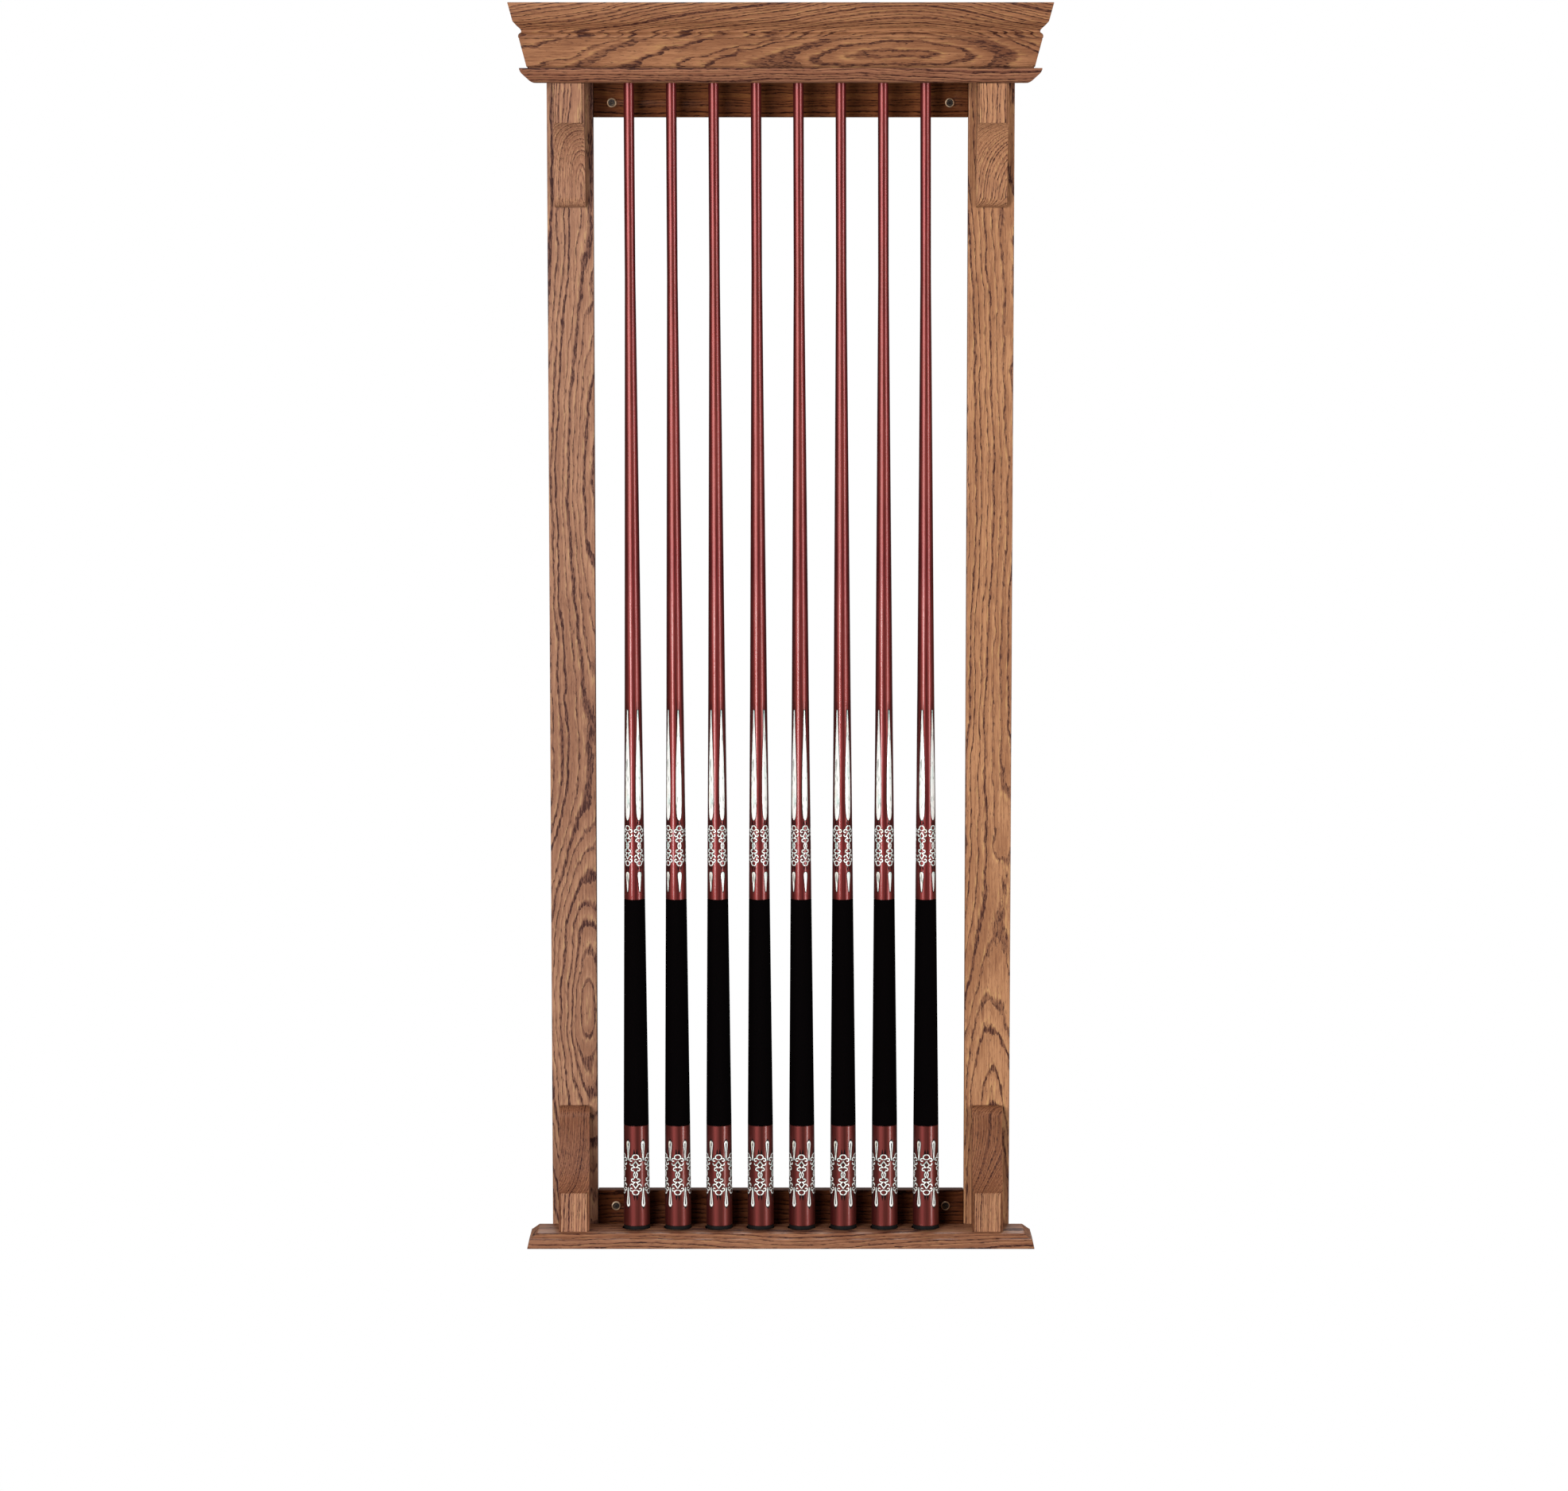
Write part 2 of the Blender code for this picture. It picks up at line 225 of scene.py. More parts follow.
def oak_group():
    """Grain from growth rings round the pith.

    In Place and Pith, X is across the board, Y into it and Z along it."""
    tree = bpy.data.node_groups.new("oak_grain", "ShaderNodeTree")
    face = tree.interface
    for name in ("Place", "Pith"):
        face.new_socket(name, in_out="INPUT", socket_type="NodeSocketVector")
    for name in ("Wander", "Spacing", "Seed", "End", "Contrast"):
        face.new_socket(name, in_out="INPUT", socket_type="NodeSocketFloat")
    face.new_socket("Tint", in_out="INPUT", socket_type="NodeSocketColor")
    face.new_socket("Colour", in_out="OUTPUT", socket_type="NodeSocketColor")
    face.new_socket("Roughness", in_out="OUTPUT", socket_type="NodeSocketFloat")
    face.new_socket("Height", in_out="OUTPUT", socket_type="NodeSocketFloat")
    n = Nodes(tree)
    given = n.add("NodeGroupInput").outputs
    x, y, z = n.separate(given["Place"])
    pith_x, pith_y, _ = n.separate(given["Pith"])
    along = n.math("ADD", z, given["Seed"])

    def swing(value, size):
        """A noise value as a shift of up to half of size either way."""
        return n.math("MULTIPLY", n.math("SUBTRACT", value, 0.5), size)

    def wood_noise(kind):
        cross, length, shift, detail, roughness = WOOD_NOISES[kind]
        cells = n.cells((x, y, n.math("ADD", along, shift)), cross, length)
        return n.noise(cells, detail=detail, roughness=roughness)

    # rings round the pith's path, wavy and of uneven width
    dive = swing(n.noise_line(n.math("ADD", along, 37.0), 3.1, 2.0), 1.0)
    dive = n.math("MULTIPLY", dive, given["Wander"])
    across = n.math("SUBTRACT", n.math("SUBTRACT", x, pith_x), swing(n.noise_line(along, 2.3), 0.006))
    deep = n.math("SUBTRACT", n.math("SUBTRACT", y, pith_y), dive)
    radius = n.math("SQRT", n.math("ADD", n.math("MULTIPLY", across, across), n.math("MULTIPLY", deep, deep)))
    waves = 0.0
    for kind, size in WAVE_SIZES.items():
        waves = n.math("ADD", waves, swing(wood_noise(kind), size))
    rings = n.math("ADD", n.math("DIVIDE", radius, given["Spacing"]), n.math("MULTIPLY", waves, WAVE_RINGS))
    uneven = n.noise_line(n.math("ADD", rings, given["Seed"]), 0.6)
    rings = n.math("ADD", rings, n.math("MULTIPLY", uneven, 1.5))

    # the dark band in each ring: sharp on one side, soft on the other, and not equally strong in every ring
    phase = n.math("FRACT", rings)
    strength = n.spread(n.noise_line(n.math("ADD", n.math("FLOOR", rings), 0.37), 1.7), 0.68, 1.0)
    band = n.math("MULTIPLY", n.step(phase, 0.0, 0.06), n.math("SUBTRACT", 1.0, n.step(phase, 0.20, 0.42)))
    band = n.math("MULTIPLY", n.math("MULTIPLY", band, strength), given["Contrast"])

    # pores: short dark dashes, crowded in each ring's early wood
    crowd = n.math("MULTIPLY", n.math("SUBTRACT", band, 1.0), 0.20)
    pore = n.step(n.math("ADD", wood_noise("dash"), crowd), 0.42, 0.53)
    fine = n.step(wood_noise("fine"), 0.50, 0.66)

    # fibres, slow changes of tone and yellowish streaks beside the dark lines
    fibre = wood_noise("fibre")
    tone = n.math("ADD", n.math("MULTIPLY", fibre, 0.55), n.math("MULTIPLY", wood_noise("cloud"), 0.35))
    tone = n.math("SUBTRACT", tone, n.math("MULTIPLY", n.step(phase, 0.55, 1.0), 0.09))
    late = n.blend(n.step(tone, 0.30, 0.54), LATE_DARK, LATE_LIGHT)
    beside = n.math("MULTIPLY", n.step(phase, 0.26, 0.36), n.math("SUBTRACT", 1.0, n.step(phase, 0.42, 0.58)))
    honey = n.math("MULTIPLY", beside, n.step(wood_noise("honey"), 0.46, 0.60))
    late = n.blend(n.math("MULTIPLY", honey, 0.42), late, HONEY)
    wood = n.blend(n.math("MULTIPLY", fine, 0.42), late, BAND)
    wood = n.blend(n.math("MULTIPLY", band, 0.84), wood, BAND)
    wood = n.blend(n.math("MULTIPLY", pore, n.remap(band, 0, 1, 0.55, 0.95)), wood, PORE)

    # End darkens the end grain, and on the corbels it also holds painted shade on their sides and curves; the
    # darker, the redder
    shade = n.combine(given["End"], n.math("POWER", given["End"], 1.35), n.math("POWER", given["End"], 1.5))
    wood = n.blend(1.0, n.blend(1.0, wood, given["Tint"], "MULTIPLY"), shade, "MULTIPLY")

    out = n.add("NodeGroupOutput")
    n.feed(out, Colour=wood, Roughness=n.remap(pore, 0, 1, 0.40, 0.60),
           Height=n.math("SUBTRACT", n.math("MULTIPLY", fibre, 0.3), pore))
    return tree


GRAIN = oak_group()
AXES = {"x": 0, "y": 1, "z": 2}
PITH_SPAN = 0.4  # the ramps hold offsets of up to half of this either way


def oak(name, across, deep, along, path, tint=(1, 1, 1), wander=0.02, spacing=0.0058, seed=0.0, end=0.55,
        contrast=1.0, front=None, upper=None, coat=0.10):
    """Oak for one board. across, deep and along name the world axes.

    path is the pith's way through the board: (along, across, deep) in metres, one point or more.
    wander is how far the pith strays into the board and out, and spacing is a ring's width, in metres.
    end is how light the end grain is beside the faces. With front given, all that lies behind front is
    darkened by end instead, as end grain and as painted shade.
    contrast is the bands' strength, and with front given it holds only for what lies behind front.
    upper is a height and the spacing of the rings above it. coat is how glossy the finish is."""
    made, n, shader = new_material("oak_" + name, Coat_Weight=coat, Coat_Roughness=0.25,
                                   Specular_IOR_Level=1.4 * coat)
    coords = n.add("ShaderNodeTexCoord").outputs
    parts = n.separate(coords["Object"])
    place = n.combine(*(parts[AXES[a]] for a in (across, deep, along)))
    if front is None:
        cut = n.remap(n.math("ABSOLUTE", n.separate(coords["Normal"])[AXES[along]]), 0.2, 0.95, 0, 1)
    else:
        # all behind the flat front is darkened by end: the end grain, and painted shade on the sides and the
        # curve
        cut = n.step(parts[1], front + 0.3 * MM, front + 2 * MM)
        contrast = n.remap(cut, 0, 1, 1.0, contrast)
    grain = n.add("ShaderNodeGroup", node_tree=GRAIN)
    if upper is not None:
        spacing = n.remap(n.step(parts[2], upper[0], upper[0] + 2 * MM), 0, 1, spacing, upper[1])
    n.feed(grain, Place=place, Wander=wander, Spacing=spacing, Seed=seed, Tint=(*tint, 1.0),
           Contrast=contrast, End=n.remap(cut, 0, 1, 1.0, end))
    if len(path) == 1:
        grain.inputs["Pith"].default_value = (path[0][1], path[0][2], 0.0)
    else:
        low, high = path[0][0], path[-1][0]
        ramp = n.add("ShaderNodeValToRGB")
        ramp.color_ramp.interpolation = "CARDINAL"
        mid = [sum(p[k] for p in path) / len(path) for k in (1, 2)]
        stops = ramp.color_ramp.elements
        for spot, _, _ in path[1:-1]:
            stops.new((spot - low) / (high - low))
        for stop, (_, a, d) in zip(stops, path):
            stop.color = (0.5 + (a - mid[0]) / PITH_SPAN, 0.5 + (d - mid[1]) / PITH_SPAN, 0.0, 1.0)
        n.feed(ramp, Fac=n.remap(parts[AXES[along]], low, high, 0, 1))
        red, green, _ = n.separate(ramp.outputs[0])
        values = [n.math("MULTIPLY_ADD", value, PITH_SPAN, m - PITH_SPAN / 2)
                  for value, m in zip((red, green), mid)]
        n.feed(grain, Pith=n.combine(*values, 0.0))
    n.feed(shader, Base_Color=grain.outputs["Colour"], Roughness=grain.outputs["Roughness"],
           Normal=n.bump(grain.outputs["Height"], GRAIN_RELIEF))
    return made


# Mesh building ---------------------------------------------------------------------------------


def in_mm(pairs):
    return [(a * MM, b * MM) for a, b in pairs]


def mesh_from(name, bm, outward=True):
    if outward:
        bmesh.ops.recalc_face_normals(bm, faces=bm.faces)
    mesh = bpy.data.meshes.new(name)
    bm.to_mesh(mesh)
    bm.free()
    return mesh


def link(name, data):
    made = bpy.data.objects.new(name, data)
    bpy.context.scene.collection.objects.link(made)
    return made


def place(name, bm, finish, body, slot, nodes=(), smooth=35):
    """What show does, for a bmesh."""
    return show(name, mesh_from(name, bm), finish, body, nodes, smooth)


def show(name, mesh, finish, body, nodes=(), smooth=35):
    """Makes a mesh a piece that rides on a body and may stand for CAD nodes. Pieces may share a mesh.

    Edges sharper than smooth, in degrees, stay sharp."""
    if not mesh.materials:
        mesh.materials.append(finish)
        mesh.shade_smooth()
        mesh.set_sharp_from_angle(angle=radians(smooth))
    made = link(name, mesh)
    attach(made, body)
    if nodes:
        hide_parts(*nodes)
    return made


def wall(bm, low, high):
    """Faces between two rings of vertices."""
    for i in range(len(low)):
        j = (i + 1) % len(low)
        bm.faces.new((low[i], low[j], high[j], high[i]))


def loft(rings, closed=False):
    """A solid through rings of points. The last ring joins the first if closed, or else both are capped."""
    bm = bmesh.new()
    rows = [[bm.verts.new(p) for p in ring] for ring in rings]
    pairs = list(zip(rows, rows[1:]))
    if closed:
        pairs.append((rows[-1], rows[0]))
    else:
        bm.faces.new(rows[0])
        bm.faces.new(rows[-1])
    for low, high in pairs:
        wall(bm, low, high)
    return bm


def box_mesh(low, high):
    ring = [(low[0], low[1]), (high[0], low[1]), (high[0], high[1]), (low[0], high[1])]
    return loft([[(x, y, z) for x, y in ring] for z in (low[2], high[2])])


def circle(radius, height, sides):
    turn = [2 * pi * i / sides for i in range(sides)]
    return [(radius * cos(a), radius * sin(a), height) for a in turn]


def turned(profile, sides):
    """A turned solid about Z from (height, radius) pairs."""
    return loft([circle(r, h, sides) for h, r in profile])


def turned_ring(profile, sides):
    """A turned ring about Z from the (height, radius) pairs all round its section."""
    turn = [2 * pi * i / sides for i in range(sides)]
    return loft([[(r * cos(a), r * sin(a), h) for h, r in profile] for a in turn], closed=True)


def soften(piece, width, segments=3, angle=40):
    """Rounds the edges that are sharper than an angle in degrees."""
    bevel = piece.modifiers.new("eased_edges", "BEVEL")
    bevel.width = width
    bevel.segments = segments
    bevel.limit_method = "ANGLE"
    bevel.angle_limit = radians(angle)
    bevel.harden_normals = False


def drill(piece, centres, radius, low, high, axis="z", sides=64):
    """Cuts round holes. The cutter goes once the cut is applied."""
    bm = bmesh.new()
    for centre in centres:
        spot = Matrix.Translation(Vector(centre))
        if axis == "y":
            spot = spot @ Matrix.Rotation(radians(90), 4, "X")
        foot, top = [[bm.verts.new(spot @ Vector(p)) for p in circle(radius, h, sides)] for h in (low, high)]
        bm.faces.new(list(reversed(foot)))
        bm.faces.new(top)
        wall(bm, foot, top)
    cutter = link("cutter", mesh_from("cutter", bm))
    cut = piece.modifiers.new("cut", "BOOLEAN")
    cut.operation = "DIFFERENCE"
    cut.object = cutter
    bpy.context.view_layer.update()
    cut_piece = piece.evaluated_get(bpy.context.evaluated_depsgraph_get())
    shaped = bpy.data.meshes.new_from_object(cut_piece)
    piece.modifiers.remove(cut)
    old = piece.data
    piece.data = shaped
    bpy.data.meshes.remove(old)
    bpy.data.objects.remove(cutter)


# Frame -----------------------------------------------------------------------------------------

FRAME_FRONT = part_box("left_post")[0].y
# The middle of each cup washer, by its screw's name, such as upper_left
SCREWS = {name[:-4]: (sum(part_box(name), Vector()) / 2) for name in frame["nodes"] if name.endswith("_cup")}
# For each post, its pith's (height, x, y) from the foot up, its seed and its tint
POSTS = {
    "left_post": ([(-1.43, -0.234, 0.036), (-1.28, -0.240, 0.010), (-1.185, -0.243, -0.0060),
                   (-1.135, -0.2435, -0.0165), (-1.085, -0.243, -0.0060), (-0.99, -0.238, 0.010),
                   (-0.86, -0.226, 0.030), (-0.62, -0.222, 0.020), (-0.45, -0.219, 0.004),
                   (-0.24, -0.217, 0.024), (0.05, -0.214, 0.030)], 3.1, (0.78, 0.73, 0.68)),
    "right_post": ([(-1.43, 0.269, -0.014), (-1.30, 0.268, -0.002), (-1.14, 0.268, 0.018),
                    (-1.00, 0.278, 0.028), (-0.70, 0.300, 0.012), (-0.40, 0.306, 0.010),
                    (-0.15, 0.292, 0.016), (0.05, 0.284, 0.006)], 8.4, (0.92, 0.83, 0.65)),
}
# The rails carry almost no coat, and their tint is dark with painted shade, the shade that the boards above
# and the cues cast on them: seed and tint
RAILS = {"upper_rail": (13.7, (0.27, 0.16, 0.09)), "lower_rail": (21.9, (0.20, 0.108, 0.062))}
RAIL_PITH = (0.035, 0.01)  # above the rail's middle, and behind the wall's plane


def make_frame():
    for node, (path, seed, tint) in POSTS.items():
        low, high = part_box(node)
        finish = oak(node, "x", "y", "z", path, tint, seed=seed, wander=0.006, spacing=0.0062)
        post = place(node + "_board", box_mesh(low, high), finish, "rack", "oak", [node])
        soften(post, 1.4 * MM)
    for node, (seed, tint) in RAILS.items():
        low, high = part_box(node)
        pith = ((low.z + high.z) / 2 + RAIL_PITH[0], RAIL_PITH[1])
        # the rail's dark tint is painted shade, not the oak's own colour
        finish = oak(node, "z", "y", "x", [(0, *pith)], tint, seed=seed, spacing=0.0046, coat=0.02)
        rail = place(node + "_board", box_mesh(low, high), finish, "rack", "oak", [node])
        level = node.split("_")[0]
        seats = [(p.x, 0, p.z) for name, p in SCREWS.items() if name.startswith(level)]
        drill(rail, seats, SCREW_HOLE_R, -MM, 20 * MM, "y", 32)
        soften(rail, 0.9 * MM, 2)


# Shelf and tip board ---------------------------------------------------------------------------


# (height above the board's lower face, inset of its ends) in millimetres: an eased foot, a step and a slope
SHELF_EDGE = [(0, 0.5), (0.15, 0.15), (0.5, 0), (11.0, 2.9), (11.45, 3.1), (11.75, 3.6), (11.9, 4.3),
              (12.6, 5.3), (16.9, 11.4), (17.6, 12.2), (18, 13.4)]
TIP_BOARD_EDGE = [(0, 17.8), (0.25, 16.6), (1.3, 14.0), (2.8, 11.9), (10.8, 3.4), (12.6, 1.9), (14.4, 0.9),
                  (16.0, 0.25), (17.9, 0), (18, 0.1)]


def moulded_board(node, edge, finish):
    """A board whose front and ends follow edge."""
    low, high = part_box(node)
    rings = []
    for rise, inset in in_mm(edge):
        half = high.x - inset
        front = low.y + FRONT_SHARE * inset
        z = low.z + rise
        rings.append([(-half, front, z), (half, front, z), (half, high.y, z), (-half, high.y, z)])
    return place(node + "_board", loft(rings), finish, "rack", "oak", [node])


def cue_holes(node):
    """Centres of the holes for the cues, at the node's underside."""
    low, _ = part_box(node)
    feet = [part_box(cue + "_bumper") for cue in CUES]
    pitch = (feet[-1][0].x - feet[0][0].x) / (len(CUES) - 1)
    y = (feet[0][0].y + feet[0][1].y) / 2
    return [((n - (len(CUES) - 1) / 2) * pitch, y, low.z) for n in range(len(CUES))]


def recess_floor():
    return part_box(CUES[0] + "_bumper")[0].z - GAP


def make_shelf():
    path = [(-0.34, -0.060, -1.380), (-0.10, -0.050, -1.392), (0.12, -0.064, -1.384), (0.34, -0.050, -1.378)]
    finish = oak("base_shelf", "y", "z", "x", path, (0.64, 0.52, 0.43), seed=31.3, spacing=0.0050, end=0.9)
    shelf = moulded_board("base_shelf", SHELF_EDGE, finish)
    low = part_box("base_shelf")[0].z
    drill(shelf, cue_holes("base_shelf"), RECESS_R, recess_floor() - low, 2 * BOARD_THICK)
    soften(shelf, 0.35 * MM, 2, 60)


def make_tip_board():
    finish = oak("tip_board", "y", "z", "x", [(0, -0.060, 0.110)], (0.66, 0.53, 0.46), seed=44.8,
                 spacing=0.0032)
    board = moulded_board("tip_board", TIP_BOARD_EDGE, finish)
    drill(board, cue_holes("tip_board"), TIP_HOLE_R, -MM, BOARD_THICK + MM)


# Crown -----------------------------------------------------------------------------------------


# (inset, depth below the top) of the crown's face in millimetres: fascia, cove, bead and groove
CROWN_FACE = [(0.5, 0), (0.12, 0.25), (0.1, 0.8), (5.7, 22.2), (6.2, 23.2), (7.0, 24.0),
              (8.9, 26.2), (11.2, 28.6), (13.4, 30.6), (15.0, 32.3), (15.8, 34.0), (15.9, 35.6),
              (14.9, 36.6), (13.5, 37.5), (12.7, 38.6), (12.35, 40.0), (12.35, 41.4), (12.8, 42.8),
              (13.5, 43.3), (13.3, 44.1), (13.6, 45.2)]
CROWN_TINT = (0.68, 0.56, 0.42)


def crown_profile():
    """(inset, height above the crown's foot) of the moulding, from its top arris down and up the inside."""
    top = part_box("crown_front")[1].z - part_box("crown_front")[0].z
    face = [(i * MM, top - d * MM) for i, d in CROWN_FACE]
    foot = [(21.8 * MM, 1.1 * MM), (22.8 * MM, 0.9 * MM), (22.8 * MM, -GAP), (36 * MM, -GAP)]
    return face + foot + [(36 * MM, top - 0.5 * MM), (35.5 * MM, top)]


def make_crown():
    low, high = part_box("crown_front")
    profile = crown_profile()
    ends = [[(s * (high.x - i), low.y + i, low.z + h) for i, h in profile] for s in (-1, 1)]
    path = [(-0.34, 0.044, 0.004), (-0.16, 0.047, -0.028), (0.02, 0.056, -0.055), (0.155, 0.062, -0.078),
            (0.25, 0.058, -0.060), (0.34, 0.054, -0.036)]
    finish = oak("crown_front", "z", "y", "x", path, CROWN_TINT, seed=52.6, wander=0.006, spacing=0.0098,
                 upper=(high.z - 44 * MM, 0.0036))
    place("crown_front_moulding", loft(ends), finish, "rack", "oak", ["crown_front"], smooth=28)
    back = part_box("crown_left_return")[1].y
    for side, word, seed in ((-1, "left", 61.2), (1, "right", 66.5)):
        front = [(side * (high.x - i), low.y + i + 1.5 * GAP, low.z + h) for i, h in profile]
        rear = [(x, back, z) for x, _, z in front]
        finish = oak(f"crown_{word}_return", "z", "x", "y", [(0, 0.03, side * 0.25)], CROWN_TINT, seed=seed)
        place(f"crown_{word}_moulding", loft([front, rear]), finish, "rack", "oak",
              [f"crown_{word}_return"], smooth=28)
        block = frame["nodes"][f"{word}_glue_block"]
        block.data.materials.clear()
        block.data.materials.append(oak(f"{word}_glue_block", "x", "y", "z", [(0, 0.0, 0.0)], seed=seed + 3))


# Corbels ---------------------------------------------------------------------------------------


# For each corbel: its pith's place across from the middle and its Y, the seed, how light the curve and sides
# are beside the flat front (end grain, and painted shade on the lower corbels), and the tint
CORBELS = {"upper_left": (0.014, -0.028, 71.0, 1.02, (0.80, 0.73, 0.66)),
           "upper_right": (0.040, 0.020, 77.4, 0.95, (0.90, 0.81, 0.66)),
           "lower_left": (-0.060, -0.020, 83.9, 0.54, (0.94, 0.86, 0.78)),
           "lower_right": (0.050, -0.090, 90.2, 0.60, (0.88, 0.79, 0.66))}
SWEEP_STEPS, NOSE_STEPS = 24, 10
ON_FACE = 1e-4  # an edge nearer than this to the post or to the board isn't rounded


def corbel_outline(deep, high):
    """(projection, distance from the board): flat front, sharp arris, concave sweep and convex nose."""
    across = (deep - CORBEL_NOSE) / (1 - cos(CORBEL_SWEEP))
    along = (high - CORBEL_NOSE - CORBEL_FLAT) / sin(CORBEL_SWEEP)
    outline = [(0, 0), (deep, 0)]
    for step in range(SWEEP_STEPS + 1):
        a = CORBEL_SWEEP * (1 - step / SWEEP_STEPS)
        outline.append((CORBEL_NOSE + across * (1 - cos(a)), high - CORBEL_NOSE - along * sin(a)))
    for step in range(1, NOSE_STEPS + 1):
        a = pi / 2 * step / NOSE_STEPS
        outline.append((CORBEL_NOSE * cos(a), high - CORBEL_NOSE + CORBEL_NOSE * sin(a)))
    return outline


def make_corbels():
    for word, (aside, deep, seed, end, tint) in CORBELS.items():
        node = word + "_corbel"
        low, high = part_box(node)
        away, start = (-1, high.z) if word.startswith("upper") else (1, low.z)
        outline = corbel_outline(high.y - low.y, high.z - low.z)
        bm = loft([[(x, high.y - p, start + away * d) for p, d in outline] for x in (low.x, high.x)])
        rounded = [e for e in bm.edges if abs(e.verts[0].co.x - e.verts[1].co.x) < 1e-6
                   and min(v.co.y for v in e.verts) < high.y - ON_FACE
                   and max(abs(v.co.z - start) for v in e.verts) > ON_FACE]
        bmesh.ops.bevel(bm, geom=rounded, offset=CORBEL_ROUND, segments=4, affect="EDGES", clamp_overlap=True)
        middle = (low.x + high.x) / 2
        # end darkens the curve and sides: end grain, and on the lower corbels painted shade
        finish = oak(node, "x", "y", "z", [(0, middle + aside, deep)], tint, seed=seed, spacing=0.0024,
                     end=end, contrast=0.8, front=low.y)
        place(node + "_carved", bm, finish, "rack", "oak", [node], smooth=24)


# Hardware --------------------------------------------------------------------------------------


# (height off the rail, radius) in millimetres. The cup is a ring, and the head has a flared shank below it.
CUP = [(0.3, 2.75), (0.3, 5.8), (0.5, 5.97), (0.8, 5.95), (1.2, 5.85), (1.7, 5.6), (2.1, 5.3), (2.35, 4.98),
       (2.38, 4.75), (2.2, 4.55)]
SCREW = [(-47.7, 0.3), (-40, 2.1), (0.3, 2.1), (1.75, 3.85), (1.95, 4.05), (2.15, 4.05), (2.3, 3.85),
         (2.3, 1.75), (2.1, 1.6), (0.7, 1.1)]


def make_hardware():
    brass = speckled("aged_brass", (260, 4, 0.6), ((0.86, 0.66, 0.46), (0.60, 0.40, 0.24)), (0.40, 0.66),
                     (0.46, 0.62), Metallic=1.0)
    steel = speckled("bronzed_steel", (420, 3, 0.6), ((0.035, 0.028, 0.026), (0.12, 0.085, 0.055)),
                     (0.45, 0.7), (0.35, 0.6), Metallic=0.9)
    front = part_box("upper_rail")[0].y
    for word, centre in SCREWS.items():
        seat = Matrix.Translation((centre.x, front, centre.z)) @ Matrix.Rotation(radians(90), 4, "X")
        for kind, shape, profile, finish, slot in (("cup", turned_ring, CUP, brass, "brass"),
                                                   ("screw", turned, SCREW, steel, "screw_steel")):
            bm = shape(in_mm(profile), 48)
            bm.transform(seat)
            place(f"{word}_{kind}_turned", bm, finish, "rack", slot, [f"{word}_{kind}"])


# Cues ------------------------------------------------------------------------------------------


def cue_radius(height):
    for (low, r_low), (high, r_high) in zip(CUE_STATIONS, CUE_STATIONS[1:]):
        if height <= high * MM:
            return (r_low + (r_high - r_low) * (height / MM - low) / (high - low)) * MM
    return CUE_STATIONS[-1][1] * MM


def lacquer():
    """Maroon stain with a metallic sheen over straight maple grain, under a clear coat."""
    made, n, shader = new_material("maroon_lacquer", Metallic=0.86, Coat_Weight=0.42, Coat_Roughness=0.09)
    xyz = n.separate(n.spot())
    streak = n.noise(n.cells(xyz, 420, 14), detail=3, roughness=0.6)
    cloud = n.noise(n.cells(xyz, 60, 5))
    red = n.blend(n.step(streak, 0.35, 0.68), (0.120, 0.014, 0.013), (0.205, 0.028, 0.027))
    brown = n.blend(streak, (0.106, 0.018, 0.014), (0.185, 0.033, 0.030))
    tint = n.blend(n.step(xyz[2], 0.13, 0.42), brown, red)  # browner on the sleeve, below the wrap
    tint = n.blend(n.math("MULTIPLY", n.step(cloud, 0.4, 0.7), 0.35), tint, (0.16, 0.034, 0.020))
    n.feed(shader, Base_Color=tint, Roughness=n.spread(streak, 0.41, 0.48), Normal=n.bump(streak, 0.00003))
    return made


def linen():
    """Black thread wound round and round, a thread every half millimetre."""
    made, n, shader = new_material("linen_wrap", Specular_IOR_Level=0.03)
    x, y, z = n.separate(n.spot())
    turn = n.math("DIVIDE", n.math("ARCTAN2", y, x), 2 * pi)
    wound = n.math("SUBTRACT", n.math("DIVIDE", z, 0.55 * MM), turn)
    thread = n.math("SINE", n.math("MULTIPLY", wound, 2 * pi))
    fuzz = n.combine(n.math("MULTIPLY", turn, 60), n.math("MULTIPLY", wound, 0.7), 0.0)
    fuzz = n.noise(fuzz, 1.0, 3, 0.65)
    fleck = n.step(n.math("ADD", n.math("MULTIPLY", thread, 0.08), fuzz), 0.60, 0.74)
    n.feed(shader, Base_Color=n.blend(fleck, (0.0006, 0.0002, 0.0003), (0.006, 0.0015, 0.0025)),
           Roughness=n.spread(fuzz, 0.62, 0.9),
           Normal=n.bump(n.math("ADD", n.math("MULTIPLY", thread, 0.5), fuzz), 0.00012))
    return made


def rubber():
    return speckled("bumper_rubber", (900, 4, 0.6), ((0.0025, 0.0022, 0.0022), (0.007, 0.0065, 0.006)),
                    (0.42, 0.7), (0.55, 0.8), 0.00006, Specular_IOR_Level=0.15)


def felt():
    return speckled("black_felt", (2600, 3, 0.7), ((0.001, 0.001, 0.001), (0.006, 0.0055, 0.0055)),
                    relief=0.0002, Roughness=1.0, Sheen_Weight=0.04, Specular_IOR_Level=0.1)


def tip_leather():
    """Worn leather with blue chalk left in its grain."""
    return speckled("tip_leather", (1400, 4, 0.65), ((0.10, 0.16, 0.24), (0.22, 0.12, 0.07)), (0.35, 0.7),
                    (0.7, 0.95), 0.0001)


def ebony():
    return speckled("ebony_line", (700, 2), ((0.002, 0.0012, 0.0012), (0.006, 0.003, 0.003)),
                    Roughness=0.6, Specular_IOR_Level=0.12)


def ivory():
    made, n, shader = new_material("ferrule_ivory", Roughness=0.28, Subsurface_Weight=0.05)
    vein = n.noise(n.cells(n.separate(n.spot()), 300, 40), detail=3)
    n.feed(shader, Base_Color=n.blend(vein, (0.72, 0.66, 0.54), (0.84, 0.80, 0.71)))
    return made


